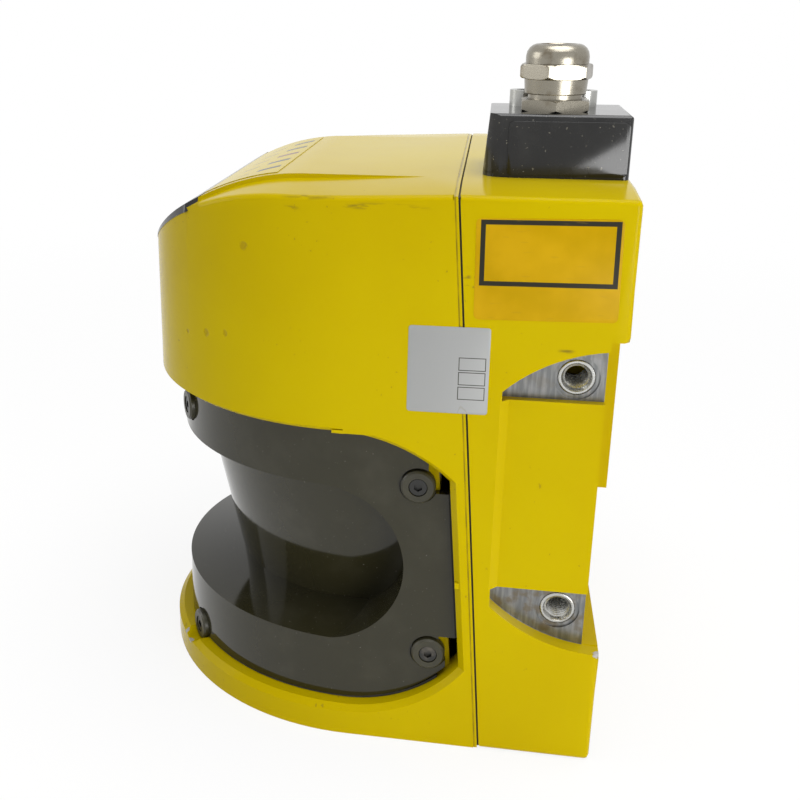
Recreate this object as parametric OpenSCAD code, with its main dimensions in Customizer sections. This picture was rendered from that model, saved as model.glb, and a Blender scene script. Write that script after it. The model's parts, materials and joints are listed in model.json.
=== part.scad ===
// Safety laser scanner: a half-round sensor head with a wrap-round optics cover, a box-shaped
// interface housing bolted on behind it, and a cable plug with a metal gland on top.
// Frame: +Z up, the front (nose of the hood) faces -Y, the scan axis is the Z axis, and the
// origin lies on the base plane. Everything in millimetres.

/* [Body] */
// Width of the body, side to side
body_w = 155; // [154:0.5:156]
// Depth of the body, nose to rear face
body_d = 160; // [159:0.5:162]
// Height of the body without the plug
body_h = 185; // [184:0.5:187]
// Wall thickness of the two castings
wall = 4; // [3.5:0.5:4.5]
// Lean of the joint between the two castings, in degrees
seam_lean = 4.5; // [4:0.25:5]

/* [Optics cover] */
// Radius of the drum-shaped cover
cover_r = 72; // [71.5:0.5:72.5]
// Wall thickness of the cover
cover_t = 3; // [2.5:0.5:3]
// Lower edge of the view groove
groove_z0 = 32.6; // [32:0.2:34]
// Upper edge of the view groove
groove_z1 = 89; // [88:0.5:90]
// Radius of the window cone at its root
window_r0 = 51.8; // [50:0.2:53]
// Radius of the window cone under the ceiling of the groove
window_r1 = 63.5; // [62:0.5:64]

/* [Mounting] */
// Radius of the tapped hole in the M8 inserts
insert_hole_r = 3.4; // [3.3:0.05:3.5]
// Length of the thread inserts
insert_len = 15; // [12:1:16]
// Half the width of the rear thread pattern
rear_x = 45; // [42:1:46]

/* [Plug] */
// Height of the plug above the body
plug_h = 19; // [18:1:21]
// Width of the plug across the body
plug_w = 38; // [37:1:39]
// Width across the flats of the cable gland
gland_af = 20; // [19:0.5:21]

/* [Scanning mirror] */
// Height of the scan plane above the base
scan_z = 62; // [61:0.5:63]
// Radius of the turning mirror, seen along the axis
mirror_r = 22; // [20:1:24]
// Radius of the slotted encoder disc
encoder_r = 40; // [36:1:42]

/* [Hidden] */
$fn = 96;
far = 200; // longer than anything in the part

half_w = body_w / 2;
front_y = -body_d / 2;
rear_y = body_d / 2;
plan_y = front_y + half_w; // centre of the half-round nose
gap = 0.3; // half the joint between the castings, which the gasket fills

// The joint leans forward towards the top.
seam_y0 = 44.2; // where the joint meets the base plane
function seam_y(z) = seam_y0 - z * tan(seam_lean);

// Shoulder and raised panel of the hood: an arc over the front, then nearly flat
top_y = -20; // where both arcs begin
panel_r = 72;
panel_z = body_h - panel_r;
shoulder_r = 75;
shoulder_z = body_h - 2.8 - shoulder_r;
panel_half = 50;

// Mouth of the sensor housing, seen from the side
hood_z = 109.5; // underside of the hood
base_z = 10.3; // top of the base
base_side = 8.4; // height of the base's upright edge
hood_floor = 3.7; // thickness of the hood's floor
upper_arc = [-6, hood_z - 55, 55]; // y, z and radius
lower_arc = [-0.8, base_z + 45.9, 45.9];
cover_arc = [-2, base_z + 46.3, 46.3]; // the cover's lower edge keeps a little further off
mid_z = 57; // height at which the two arcs are past the rear edge
mouth_y0 = 38.8; // rear edge of the mouth, carried down to the base plane
mouth_lean = 4.8;
rim_x = half_w - 2; // where the mouth's chamfer begins
rim_slope = [0.75, 0.9, 0.85]; // how steeply it opens the upper arc, the rear edge and the lower arc
roof_x = 58.4; // the top falls a little from here to the sides
roof_fall = 1;
shoulder_fall = 3; // slope of the shoulders beside the raised panel, in degrees
step_w = 1.2; // shallow step of the front casting along the joint
rear_wall = 5.5; // thickness of the wall behind the cover
seal = 0.8; // gap round the cover, which its gasket fills

// Groove of the optics cover
groove_r = (groove_z1 - groove_z0) / 2;
groove_mid = (groove_z1 + groove_z0) / 2;
groove_y = -11; // centre of its round ends

// Cover screws on one side: y, z and the direction they face, from +X towards the front
upper_front = 29;
lower_front = 34.4;
screws = [[21, 91.2, 0], [26.2, 31.3, 0], [0, 99.4, 90 - upper_front], [0, 13.5, 90 - lower_front]];
collar_r = 5.5;
collar_h = 3.4;
collar_sink = 1.8;
cheek_x = 60; // inner face of the bosses behind the cover's side plates

// Interface housing
room_x = half_w - 9.5; // half the width of its inside
room_y = rear_y - 9;
floor_z = 5;
recess_y = rear_y - 5; // the rear face is set back by this much below the top block
side_arc = [rear_y, 90, 50.3]; // outline of the side recess
side_y = 45;
pad_x = half_w - 5.5; // bare machined pads
panel_x = half_w - 2.5; // panel between the pads
pad_top = 123;
pad_bottom = 59.7;
panel_slope = 2.1; // the panel's front wall slopes back by this
insert_y = 66.5;
insert_z = [52, 130];
insert_r = 5.55;
rear_z = [24, 130];
boss_r = 8.4;

// Screws that join the two castings
joint_screws = [for (x = [-1, 1], z = [12, 172]) [x * (half_w - 8), z]];
joint_y = 52; // seat of their heads

// Plug on top
plug_x1 = 48;
plug_x0 = plug_x1 - plug_w;
plug_y0 = 35.5;
plug_y1 = rear_y - 1;
plug_z = body_h + plug_h;
plug_wall = 3;
plug_screw = [[18, 47], [18, 66]];
gland = [33, 56.3];
gland_bore = 4.6;
o_ring_r = 8.9;
o_ring_t = 0.45; // radius of its section
slot_x = [24, 44]; // opening under the plug
slot_y = [46, 70];

// Inside the head
motor_r = 20;
disc_z = 28;
carrier_z = 31;
lens_z = 94;
lens_r = 27.5;
holder_z = hood_z + hood_floor;
detector_z = 140;

// Colours
yellow = [0.86, 0.76, 0.02];
cover_black = [0.16, 0.155, 0.13];
plastic_black = [0.12, 0.12, 0.12];
rubber = [0.09, 0.09, 0.09];
nickel = [0.75, 0.72, 0.66];
steel = [0.62, 0.62, 0.60];
aluminium = [0.70, 0.70, 0.68];
circuit = [0.05, 0.30, 0.15];

// ---- Helpers ----

// Draws a profile in Y and Z out along X, centred
module along_x(length = far) {
    rotate([90, 0, 90]) linear_extrude(height = length, center = true) children();
}

// Draws a profile in X and Z out along Y
module along_y(y0, y1) {
    translate([0, y1, 0]) rotate([90, 0, 0]) linear_extrude(height = y1 - y0) children();
}

// A cylinder lying along Y
module y_cylinder(r, x, z, y0, y1) {
    translate([x, y0, z]) rotate([-90, 0, 0]) cylinder(r = r, h = y1 - y0);
}

// Half-round front and straight sides
module d_block(r, yc, y_end, z0, z1) {
    translate([0, yc, z0]) rotate([0, 0, 180]) rotate_extrude(angle = 180) square([r, z1 - z0]);
    translate([-r, yc, z0]) cube([2 * r, y_end - yc, z1 - z0]);
}

// A radius-and-height profile turned round the front half and drawn straight back on both sides
module wrap(y_end) {
    rotate([0, 0, 180]) rotate_extrude(angle = 180) children();
    along_y(0, y_end) children();
    along_y(0, y_end) mirror([1, 0]) children();
}

// Things placed on the outer face of the cover, facing outwards, on both sides
module at_cover_screws(which = [0, 1, 2, 3]) {
    for (side = [0, 1]) mirror([side, 0, 0]) for (i = which)
        translate([0, screws[i][0], screws[i][1]])
            rotate([0, 90, -screws[i][2]]) translate([0, 0, cover_r]) children();
}

// Things placed on the joint plane, with Y across it
module on_seam() {
    translate([0, seam_y0, 0]) rotate([seam_lean, 0, 0]) children();
}

// ---- Sensor housing: hood, base and rear wall in one casting ----

module shoulder_profile(inset) {
    intersection() {
        translate([top_y, shoulder_z]) circle(shoulder_r - inset);
        translate([-far + top_y, 0]) square([far, far]);
    }
    polygon([[top_y, 0], [seam_y0, 0], [seam_y0, body_h - 0.5 - inset], [top_y, body_h - 2.8 - inset]]);
}

module panel_profile(inset) {
    intersection() {
        translate([top_y, panel_z]) circle(panel_r - inset);
        translate([-far + top_y, 0]) square([far, far]);
    }
    translate([top_y, 0]) square([seam_y0 - top_y, body_h - inset]);
}

// Both shoulders, which fall from the middle to the sides
module shoulders() {
    intersection_for(side = [0, 1]) mirror([side, 0, 0]) translate([half_w, 0, body_h])
        rotate([0, shoulder_fall, 0]) translate([-half_w, 0, -body_h]) along_x() shoulder_profile(0);
}

module hood_outer() {
    difference() {
        intersection() {
            d_block(half_w, plan_y, seam_y0 + 1, hood_z, body_h + 1);
            along_x() panel_profile(0);
            union() {
                shoulders();
                along_y(front_y - 1, seam_y0 + 2) polygon([[-panel_half - 45, 95], [panel_half + 45, 95],
                    [panel_half, body_h + 1], [-panel_half, body_h + 1]]);
            }
        }
        // rounded lower edge of the nose, and the chamfer round it
        along_x() difference() {
            translate([front_y - 1, hood_z - 1]) square(7);
            translate([front_y + 6, hood_z + 6]) circle(6);
        }
        translate([0, plan_y, 0]) rotate([0, 0, 180]) rotate_extrude(angle = 180)
            polygon([[rim_x - 1, hood_z - rim_slope[0]], [rim_x + 4, hood_z + 4 * rim_slope[0]], [rim_x + 4, hood_z - 1]]);
    }
}

module hood_cavity() {
    intersection() {
        d_block(half_w - wall, plan_y, seam_y0 + 2, holder_z, body_h);
        along_x() shoulder_profile(3.5);
    }
}

// Outline of the mouth; a positive shrink gives the outline of what fits in it
module mouth_profile(shrink = 0, low = lower_arc) {
    intersection() {
        union() {
            translate([upper_arc[0] - far, mid_z]) square([far, hood_z - mid_z - shrink]);
            translate([low[0] - far, base_z + shrink]) square([far, mid_z - base_z - shrink]);
            intersection() {
                translate([upper_arc[0], upper_arc[1]]) circle(upper_arc[2] - shrink);
                translate([upper_arc[0], mid_z]) square(far);
            }
            intersection() {
                translate([low[0], low[1]]) circle(low[2] - shrink);
                translate([low[0], mid_z - far]) square(far);
            }
        }
        translate([mouth_y0 - shrink, 0]) rotate(mouth_lean) translate([-far, -far]) square([far, 2 * far]);
    }
}

// Chamfer round the mouth, on one side
module mouth_chamfer() {
    intersection() {
        union() {
            intersection() {
                rim_cone(lower_arc, rim_slope[2]);
                translate([rim_x - 1, lower_arc[0], 0]) cube([5, far, mid_z]);
            }
            intersection() {
                rim_cone(upper_arc, rim_slope[0]);
                translate([rim_x - 1, plan_y, mid_z]) cube([5, far, far]);
            }
        }
        translate([rim_x - 0.1, mouth_y0, 0]) rotate([mouth_lean, 0, 0]) linear_extrude(height = hood_z + 3)
            polygon([[-2, -far], [-2, -2 * rim_slope[1]], [4, 4 * rim_slope[1]], [4, -far]]);
    }
}

// Cone along X that opens one of the mouth's arcs outwards
module rim_cone(arc, slope) {
    translate([rim_x - 1, arc[0], arc[1]]) rotate([0, 90, 0]) cylinder(h = 5, r1 = arc[2] - slope, r2 = arc[2] + 4 * slope);
}

// Small rib across the chamfer
module mouth_rib() {
    translate([rim_x - 0.6, 33.9, 58.8]) cube([2.2, 2.6, 2]);
}

module base_plate() {
    wrap(seam_y0 + 1) polygon([[0, 0], [half_w, 0], [half_w, base_side], [rim_x, base_z], [0, base_z]]);
}

module screw_bosses() {
    // posts behind the side plates
    for (side = [0, 1]) mirror([side, 0, 0]) translate([cheek_x, 0, 0])
        intersection() {
            translate([0, 0, base_z - 1]) cube([cover_r - cover_t - 0.4 - cheek_x, seam_y0, hood_z - base_z + 2]);
            along_x(4 * cheek_x) {
                polygon([[23, 0], [35.7, 0], [25.8, hood_z + 1], [16, hood_z + 1], [16, 96], [23, 86]]);
                translate([screws[0][0], screws[0][1]]) circle(5.5);
            }
        }
    // blocks behind the front of the cover
    at_cover_screws([2]) translate([-12, -5, 58 - cover_r]) cube([17, 10, 10.6]);
    at_cover_screws([3]) translate([-4, -5, 58 - cover_r]) cube([8, 10, 10.6]);
}

module sensor_housing() {
    color(yellow) difference() {
        union() {
            difference() {
                hood_outer();
                hood_cavity();
                translate([0, 0, hood_z - 1]) cylinder(r = 60, h = hood_floor + 2);
            }
            difference() {
                union() {
                    base_plate();
                    translate([-half_w, 0, 0]) cube([body_w, seam_y0 + 1, hood_z + 1]);
                    translate([-half_w, upper_arc[0], 104]) cube([body_w, 8, hood_z - 104 + 1]);
                }
                along_x() mouth_profile();
                for (side = [0, 1]) mirror([side, 0, 0]) mouth_chamfer();
                // room inside the cover, and the opening to the interface housing
                intersection() {
                    translate([-66, -far, base_z]) cube([132, 2 * far, holder_z - base_z]);
                    on_seam() translate([-far, -2 * far, -far]) cube([2 * far, 2 * far - rear_wall, 3 * far]);
                }
                translate([-52, 0, 20]) cube([104, far, 70]);
                translate([0, 0, floor_z]) cylinder(r = 56, h = 20);
            }
            screw_bosses();
            for (side = [0, 1]) mirror([side, 0, 0]) mouth_rib();
            for (p = joint_screws) y_cylinder(6.5, p[0], p[1], p[1] < mid_z ? 29 : 12, seam_y0 + 1);
            // posts under the hood that carry the display board
            display_posts();
        }
        on_seam() translate([-far / 2, -gap, -far / 2]) cube([far, far, 2 * far]);
        seam_step();
        for (p = joint_screws) y_cylinder(2.6, p[0], p[1], 22, seam_y0 + 1);
        at_cover_screws() translate([0, 0, -14]) cylinder(r = 1.8, h = 13);
        at_cover_screws([3]) translate([0, 0, -3]) cylinder(r = collar_r + 0.4, h = 12);
        display_pocket(0.15);
        status_pocket(0);
    }
}

// ---- Display window and status panel on the raised panel ----

module panel_skin(outer, depth, y0, y1, half) {
    intersection() {
        along_x(2 * half) intersection() {
            difference() {
                translate([top_y, panel_z]) circle(panel_r + outer);
                translate([top_y, panel_z]) circle(panel_r - depth);
            }
            translate([y0, panel_z]) square([y1 - y0, far]);
        }
        translate([0, plan_y, 100]) cylinder(r = half_w - 0.3, h = 100);
    }
}

display_y = [-79, -52.7];
display_half = 46.5;
status_y = [-52.4, -34.5];
status_half = 47;

module display_pocket(play) {
    panel_skin(5, 2.5, display_y[0] - 6, display_y[1] + play, display_half + play);
    panel_skin(5, 12, -72, -60, 24);
}

module status_pocket(play) {
    panel_skin(5, 0.3, status_y[0], status_y[1] + play, status_half + play);
}

module display_window() {
    color(plastic_black) panel_skin(0.2, 2.5, display_y[0], display_y[1], display_half);
}

module status_panel() {
    color(yellow) panel_skin(0.2, 0.3, status_y[0], status_y[1], status_half);
}

// Frame of the display board: under the front slope, Z square to the board
module at_display() {
    translate([0, -50, 152]) rotate([38, 0, 0]) children();
}

module display_posts() {
    intersection() {
        at_display() for (x = [-28, 28], y = [-12, 12]) translate([x, y, 1.6]) cylinder(r = 3, h = 30);
        hood_outer();
    }
}

module display_board() {
    color(circuit) at_display() {
        translate([-34, -17, 0]) cube([68, 34, 1.6]);
        translate([-20, -10, 1.6]) cube([40, 14, 3]);
    }
}

// ---- Interface housing ----

module side_recess() {
    // bare pads above and below, and the panel between them
    for (side = [0, 1]) mirror([side, 0, 0]) {
        translate([pad_x, 0, 0]) recess_slab(side_y, pad_top, far);
        translate([pad_x, 0, 0]) recess_slab(side_y, -far, pad_bottom);
        translate([panel_x, 0, 0]) recess_slab(side_y + panel_slope, pad_bottom - 1, pad_top + 1);
        translate([panel_x, side_y, pad_bottom - 0.5]) linear_extrude(height = pad_top - pad_bottom + 1)
            polygon([[0, panel_slope], [5, panel_slope - 5], [5, 6], [0, 6]]);
    }
}

module recess_slab(y0, z0, z1) {
    translate([20, 0, 0]) along_x(40) intersection() {
        translate([side_arc[0], side_arc[1]]) circle(side_arc[2]);
        translate([y0, z0]) square([far, z1 - z0]);
    }
}

module interface_outer() {
    difference() {
        intersection() {
            along_x(body_w) polygon([[seam_y0, 0], [rear_y, 0], [rear_y, 40], [recess_y, 40], [recess_y, 88],
                [rear_y, 88], [rear_y, body_h], [seam_y(body_h), body_h]]);
            along_y(0, far / 2) roof_profile(0);
        }
        // the rear face is set back beside the central block
        for (side = [0, 1]) mirror([side, 0, 0])
            translate([56, recess_y, 60]) cube([40, 20, 83]);
        side_recess();
    }
}

module interface_housing() {
    color(yellow) difference() {
        union() {
            difference() {
                interface_outer();
                translate([-room_x, 20, floor_z]) cube([2 * room_x, room_y - 20, body_h - wall - floor_z]);
            }
            // bosses of the mounting threads, the joint screws and the plug screws
            for (side = [0, 1]) mirror([side, 0, 0]) for (z = insert_z)
                translate([pad_x - insert_len - 5, insert_y, z]) rotate([0, 90, 0]) cylinder(r = boss_r, h = insert_len + 4);
            for (x = [-rear_x, rear_x], z = rear_z) y_cylinder(boss_r, x, z, rear_y - insert_len - 5, rear_y - 1);
            for (p = joint_screws) y_cylinder(7.8, p[0], p[1], 30, rear_y - 1);
            for (p = plug_screw) translate([p[0], p[1], body_h - 18]) cylinder(r = 5, h = 17);
            // posts of the boards
            for (x = [-52, 52], z = [32, 158]) y_cylinder(3.5, x, z, 49.6, room_y + 1);
            for (y = [45, 64]) translate([58, y, 170.6]) cylinder(r = 3, h = body_h - 172);
        }
        on_seam() translate([-far / 2, gap - far, -far / 2]) cube([far, far, 2 * far]);
        at_side_threads() translate([0, 0, -insert_len - 2]) cylinder(r = insert_r, h = far / 10);
        at_side_threads() translate([0, 0, -0.6]) cylinder(r = 6.8, h = 3);
        at_rear_threads() translate([0, 0, -insert_len - 2]) cylinder(r = insert_r, h = far / 10);
        for (p = joint_screws) {
            y_cylinder(2.8, p[0], p[1], 20, rear_y);
            y_cylinder(5, p[0], p[1], joint_y, rear_y + 1);
        }
        for (p = plug_screw) translate([p[0], p[1], body_h - 14]) cylinder(r = 2.5, h = 20);
        translate([slot_x[0], slot_y[0], body_h - wall - 1]) cube([slot_x[1] - slot_x[0], slot_y[1] - slot_y[0], wall + 2]);
        seam_groove();
    }
}

// Threads on the side pads, facing outwards
module at_side_threads() {
    for (side = [0, 1]) mirror([side, 0, 0]) for (z = insert_z)
        translate([pad_x, insert_y, z]) rotate([0, 90, 0]) children();
}

// Threads in the rear face, facing backwards
module at_rear_threads() {
    for (x = [-rear_x, rear_x], z = rear_z) translate([x, rear_y, z]) rotate([-90, 0, 0]) children();
}

module thread_insert() {
    difference() {
        cylinder(r = insert_r, h = insert_len - 0.2);
        translate([0, 0, -1]) cylinder(r = insert_hole_r, h = insert_len + 2);
        translate([0, 0, insert_len - 1.2]) cylinder(r1 = insert_hole_r, r2 = insert_hole_r + 1, h = 1.01);
    }
}

module side_inserts() {
    color(steel) at_side_threads() translate([0, 0, -insert_len]) thread_insert();
}

module rear_inserts() {
    color(steel) at_rear_threads() translate([0, 0, -insert_len]) thread_insert();
}

// ---- Joint between the castings ----

// Outline of the body from the front
module roof_profile(inset) {
    x = half_w - inset;
    z = body_h - inset;
    polygon([[-x, -1], [x, -1], [x, z - roof_fall], [roof_x, z], [-roof_x, z], [-x, z - roof_fall]]);
}

// Shallow step of the front casting along the joint
module seam_step() {
    difference() {
        on_seam() translate([-far / 2, -gap - step_w, -far / 2]) cube([far, far, 2 * far]);
        along_y(0, far) roof_profile(0.3);
    }
}

// Flat ring on the joint plane, between the walls of both castings
module seam_ring(y0, y1, outer, inner) {
    on_seam() difference() {
        translate([-half_w + outer, y0, outer]) cube([body_w - 2 * outer, y1 - y0, body_h - 2 * outer]);
        translate([-half_w + inner, y0 - 1, inner]) cube([body_w - 2 * inner, y1 - y0 + 2, body_h - 2 * inner]);
    }
}

module seam_groove() {
    seam_ring(gap - 0.1, gap + 0.8, 1.5, 3.3);
}

module module_gasket() {
    color(rubber) {
        seam_ring(-gap, gap, 1.1, 3.6);
        seam_ring(gap, gap + 0.8, 1.5, 3.3);
        on_seam() translate([-half_w + 1.1, -gap, 0.3]) cube([body_w - 2.2, 2 * gap, 1]);
    }
}

module cap_screw(r, head_r, head_h, length, hex_af) {
    difference() {
        union() {
            cylinder(r = head_r, h = head_h);
            translate([0, 0, -length]) cylinder(r = r, h = length + 0.1);
        }
        translate([0, 0, head_h * 0.45]) cylinder(r = hex_af / sqrt(3), h = head_h, $fn = 6);
    }
}

module module_screws() {
    color(steel) for (p = joint_screws) translate([p[0], joint_y, p[1]]) rotate([-90, 0, 0])
        cap_screw(2.5, 4.25, 5, 28, 4);
}

// ---- Optics cover ----

// Section of the groove: window cone, top of the drum and ceiling
module groove_section(grow) {
    slope = 0.2;
    root_z = groove_z0 + 0.4 + (cover_r - window_r0) * slope;
    in0 = window_r0 - grow;
    in1 = window_r1 + (window_r1 - window_r0) * 0.12 - grow;
    polygon([[in0, root_z - grow], [cover_r + 9, root_z - grow - (cover_r + 9 - window_r0) * slope],
        [cover_r + 9, groove_z1 + 7], [in1, groove_z1 + 7]]);
}

// Outline of the groove, seen from the side
module groove_outline(grow) {
    translate([groove_y, groove_mid]) circle(groove_r + grow);
    translate([groove_y - far, groove_z0 - grow]) square([far, groove_z1 - groove_z0 + 2 * grow]);
}

module groove_void(grow) {
    intersection() {
        wrap(30) groove_section(grow);
        along_x() groove_outline(grow);
    }
}

module cover_outer(inset, y_end) {
    d_block(cover_r - inset, 0, y_end, base_z + seal, hood_z - seal);
}

// Outline of the cover with the notches at its rear corners
module cover_outline() {
    difference() {
        mouth_profile(seal, cover_arc);
        translate([24, 88.9]) square(60);
        translate([29.4, -20]) square([60, 57.5]);
    }
    // tongue under the lower notch
    intersection() {
        mouth_profile(seal, cover_arc);
        translate([28, 0]) polygon([[0, 0], [4.6, 0], [3.9, 28.4], [0, 28.4]]);
    }
}

module optics_cover() {
    color(cover_black) difference() {
        intersection() {
            difference() {
                cover_outer(0, 40);
                groove_void(0);
                difference() {
                    translate([0, 0, -1]) cover_hollow();
                    groove_void(cover_t);
                }
            }
            along_x() cover_outline();
        }
        at_cover_screws() translate([0, 0, -collar_sink]) cylinder(r = collar_r + 0.5, h = 10);
        at_cover_screws() translate([0, 0, -10]) cylinder(r = 2.3, h = 12);
    }
}

module cover_hollow() {
    d_block(cover_r - cover_t, 0, 45, 0, hood_z + 5);
}

module cover_gasket() {
    color(rubber) intersection() {
        difference() {
            d_block(cover_r - 0.4, 0, 45, base_z, hood_z);
            translate([0, 0, -1]) d_block(cover_r - cover_t + 0.2, 0, 46, 0, hood_z + 5);
            at_cover_screws([3]) translate([0, 0, -4]) cylinder(r = collar_r + 0.4, h = 12);
        }
        along_x() difference() {
            mouth_profile();
            mouth_profile(seal);
            translate([22.5, 88.9]) square(60);
            translate([29.4, -20]) square([60, 57.5]);
        }
    }
}

module cover_collars() {
    color(cover_black) at_cover_screws() translate([0, 0, -collar_sink]) difference() {
        union() {
            cylinder(r = collar_r, h = collar_h - 0.6);
            translate([0, 0, collar_h - 0.6]) cylinder(r1 = collar_r, r2 = collar_r - 0.6, h = 0.6);
        }
        translate([0, 0, -1]) cylinder(r = 1.9, h = 8);
        translate([0, 0, 1.2]) cylinder(r = 3, h = 8);
    }
}

module cover_screws() {
    color(steel * 0.5) at_cover_screws() translate([0, 0, 1.2 - collar_sink]) difference() {
        union() {
            cylinder(r = 2.75, h = 1.9);
            translate([0, 0, -11]) cylinder(r = 1.75, h = 11.1);
        }
        translate([0, 0, 0.9]) cylinder(r = 1.45, h = 2, $fn = 6);
    }
}

// ---- Plug and cable gland ----

// Rectangle from the origin with four round corners: the two radii are those at the front and the back
module soft_rectangle(x, y, front, back) {
    difference() {
        square([x, y]);
        for (side = [0, 1]) translate([side * x, 0]) mirror([side, 0]) {
            corner_cut(front);
            translate([0, y]) mirror([0, 1]) corner_cut(back);
        }
    }
}

// What a round corner of radius r takes off a square corner at the origin
module corner_cut(r) {
    difference() {
        translate([-1, -1]) square(r + 1);
        translate([r, r]) circle(r);
    }
}

module plug_shell() {
    lean = 1.5;
    edge = 1.5;
    depth = plug_y1 - plug_y0;
    intersection() {
        translate([plug_x0, plug_y0, 0]) linear_extrude(height = plug_h) soft_rectangle(plug_w, depth, 6.5, 2);
        translate([plug_x0, 0, -5]) along_y(plug_y0 - 1, plug_y1 + 1) soft_rectangle(plug_w, plug_h + 5, 0.5, edge);
        difference() {
            translate([0, plug_y0, -5]) along_x() soft_rectangle(depth, plug_h + 5, 0.5, edge);
            translate([0, plug_y0, 0]) rotate([-atan(lean / plug_h), 0, 0]) translate([0, -5, -9]) cube([far, 5, far]);
        }
    }
}

module plug_housing() {
    color(plastic_black) translate([0, 0, body_h]) difference() {
        union() {
            difference() {
                plug_shell();
                translate([plug_x0 + plug_wall, plug_y0 + plug_wall + 2, -1])
                    cube([plug_w - 2 * plug_wall, plug_y1 - plug_y0 - 2 * plug_wall - 2, plug_h - plug_wall + 1]);
            }
            for (p = plug_screw) translate([p[0], p[1], 0]) cylinder(r = 5.6, h = plug_h - 1);
        }
        for (p = plug_screw) translate([p[0], p[1], -1]) cylinder(r = 2.8, h = plug_h + 2);
        translate([gland[0], gland[1], 1]) cylinder(r = 8, h = plug_h);
        at_gland_hole(plug_h - 2 * o_ring_t) difference() {
            cylinder(r = o_ring_r + o_ring_t, h = 2);
            translate([0, 0, -1]) cylinder(r = o_ring_r - o_ring_t, h = 4);
        }
        plug_groove(1);
    }
}

module at_gland_hole(z) {
    translate([gland[0], gland[1], z]) children();
}

module plug_groove(h) {
    translate([plug_x0 + 0.8, plug_y0 + 3, -0.001]) difference() {
        cube([plug_w - 1.6, plug_y1 - plug_y0 - 3.8, h]);
        translate([1.4, 1.4, -1]) cube([plug_w - 4.4, plug_y1 - plug_y0 - 6.6, h + 2]);
    }
}

module plug_gasket() {
    color(rubber) translate([0, 0, body_h + 0.001]) plug_groove(0.98);
}

module plug_screws() {
    color(steel) for (p = plug_screw) translate([p[0], p[1], plug_z]) cap_screw(2.45, 4.25, 5, 30, 4);
}

module plug_connector() {
    x0 = 23.8;
    color(plastic_black * 1.6) translate([0, 0, body_h]) {
        translate([x0, plug_y0 + plug_wall + 2, 0])
            cube([plug_x1 - plug_wall - x0, plug_y1 - plug_y0 - 2 * plug_wall - 2, 2]);
        translate([slot_x[0] + 1, slot_y[0] + 1, -2]) cube([18, 22, 7]);
    }
}

module header_connector() {
    color(plastic_black * 2) difference() {
        translate([slot_x[0] + 1, slot_y[0] + 1, 170.6]) cube([18, 22, body_h - 2 - 170.6]);
        translate([slot_x[0] + 3, slot_y[0] + 3, 175]) cube([14, 18, 20]);
    }
}

// Hexagon with chamfered corners
module hex_body(af, h, chamfer) {
    r = af / sqrt(3);
    intersection() {
        cylinder(r = r, h = h, $fn = 6);
        union() {
            cylinder(r1 = r - chamfer, r2 = r, h = chamfer * 0.6);
            translate([0, 0, chamfer * 0.6]) cylinder(r = r, h = h - chamfer * 1.2);
            translate([0, 0, h - chamfer * 0.6]) cylinder(r1 = r, r2 = r - chamfer, h = chamfer * 0.6);
        }
    }
}

module at_gland(z) {
    translate([gland[0], gland[1], plug_z + z]) children();
}

module gland_body() {
    color(nickel) at_gland(0) difference() {
        union() {
            translate([0, 0, -13]) cylinder(r = 7.9, h = 14);
            hex_body(gland_af, 3.5, 1);
            translate([0, 0, 3]) cylinder(r = 8.2, h = 4);
        }
        translate([0, 0, -14]) cylinder(r = 5.6, h = 30);
    }
}

module gland_nut() {
    color(nickel) at_gland(5) difference() {
        union() {
            cylinder(r1 = 9.2, r2 = 9.6, h = 4.6);
            translate([0, 0, 4.5]) hex_body(gland_af, 4.5, 1);
            translate([0, 0, 8]) rotate_extrude() difference() {
                intersection() {
                    square([9.5, 7.4]);
                    translate([2.5, 0.4]) circle(7);
                }
                square([2, 8]);
            }
        }
        translate([0, 0, -1]) cylinder(r = 8.25, h = 3.1);
        translate([0, 0, 2]) cylinder(r = 6.8, h = 11);
        translate([0, 0, 2]) cylinder(r = 5.4, h = 20);
    }
}

module gland_seal() {
    color(rubber) at_gland(7) difference() {
        union() {
            cylinder(r = 6.7, h = 10.9);
            cylinder(r = 5.3, h = 12.2);
        }
        translate([0, 0, -1]) cylinder(r = gland_bore, h = 20);
    }
}

module gland_o_ring() {
    color(rubber) at_gland(0) rotate_extrude() translate([o_ring_r, -o_ring_t]) circle(o_ring_t, $fn = 24);
}

module gland_locknut() {
    color(nickel) at_gland(-plug_wall - 3) difference() {
        hex_body(18, 3, 0.8);
        translate([0, 0, -1]) cylinder(r = 7.9, h = 5);
    }
}

// ---- Circuit boards in the interface housing ----

module main_board() {
    color(circuit) {
        translate([-58, 48, 22]) cube([116, 1.6, 144]);
        for (x = [-30, 8], z = [60, 110]) translate([x, 45, z]) cube([22, 3, 22]);
    }
}

module interface_board() {
    color(circuit) translate([slot_x[0] + 1, 40, 169]) cube([36, 29.5, 1.6]);
}

// ---- Motor and turning mirror ----

module motor_bracket() {
    color(aluminium) translate([0, 0, floor_z]) difference() {
        union() {
            cylinder(r = 34, h = 3);
            cylinder(r = 9, h = 19);
        }
        translate([0, 0, -1]) cylinder(r = 4, h = 30);
        translate([0, 0, 1.5]) cylinder(r = 6.5, h = 4);
        translate([0, 0, 15]) cylinder(r = 6.5, h = 5);
        for (a = [0:120:240]) rotate(a) translate([28, 0, -1]) cylinder(r = 1.8, h = 5);
    }
}

module motor_bearings() {
    color(steel) for (z = [floor_z + 1.5, floor_z + 15]) translate([0, 0, z]) difference() {
        cylinder(r = 6.5, h = 4);
        translate([0, 0, -1]) cylinder(r = 2.8, h = 6);
    }
}

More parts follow.
